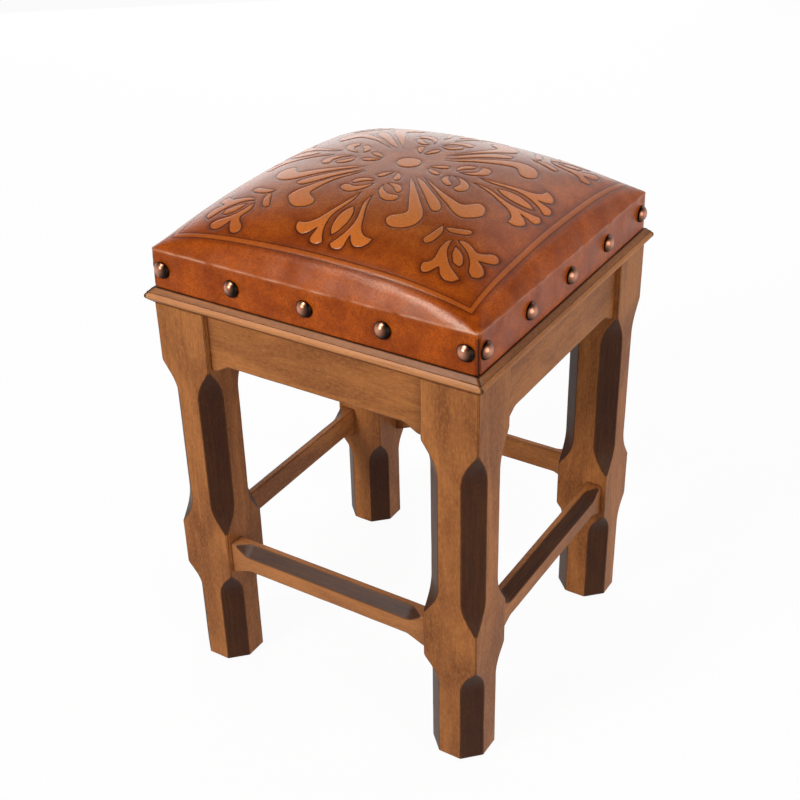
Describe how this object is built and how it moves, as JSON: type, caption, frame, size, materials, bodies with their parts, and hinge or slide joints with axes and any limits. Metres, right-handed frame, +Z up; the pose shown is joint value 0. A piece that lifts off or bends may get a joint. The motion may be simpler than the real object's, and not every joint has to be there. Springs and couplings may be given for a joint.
{
  "type": "counter stool",
  "caption": "Square counter stool with chamfered timber legs, aprons and stretchers, a moulded top frame and a crowned leather seat held by dome nails.",
  "frame": {"origin": "on the floor, under the middle of the seat", "axes": "+Z up, the front towards -Y, +X to the right when seen from the front"},
  "size_m": [0.425, 0.425, 0.6353],
  "materials": {
    "stained_wood": "walnut stain, waxed, with darker chamfers",
    "moulding_wood": "walnut stain, waxed",
    "raw_wood": "planed, unfinished",
    "foam": "open-cell foam",
    "leather": "tooled, dyed and antiqued, half gloss",
    "antique_copper": "antiqued, rubbed bright on the domes",
    "screw_steel": "plain"
  },
  "bodies": {
    "root": {"leg_front_left": "stained_wood", "leg_front_right": "stained_wood", "leg_back_right": "stained_wood", "leg_back_left": "stained_wood", "apron_front": "stained_wood", "apron_right": "stained_wood", "apron_back": "stained_wood", "apron_left": "stained_wood", "stretcher_front": "stained_wood", "stretcher_right": "stained_wood", "stretcher_back": "stained_wood", "stretcher_left": "stained_wood", "moulding_front": "moulding_wood", "moulding_right": "moulding_wood", "moulding_back": "moulding_wood", "moulding_left": "moulding_wood", "cleat_front": "raw_wood", "cleat_right": "raw_wood", "cleat_back": "raw_wood", "cleat_left": "raw_wood", "batten_front": "raw_wood", "batten_right": "raw_wood", "batten_back": "raw_wood", "batten_left": "raw_wood", "seat_deck": "raw_wood", "foam_pad": "foam", "leather_cover": "leather", "dome_nails": "antique_copper", "seat_screws": "screw_steel"}
  },
  "joints": []
}
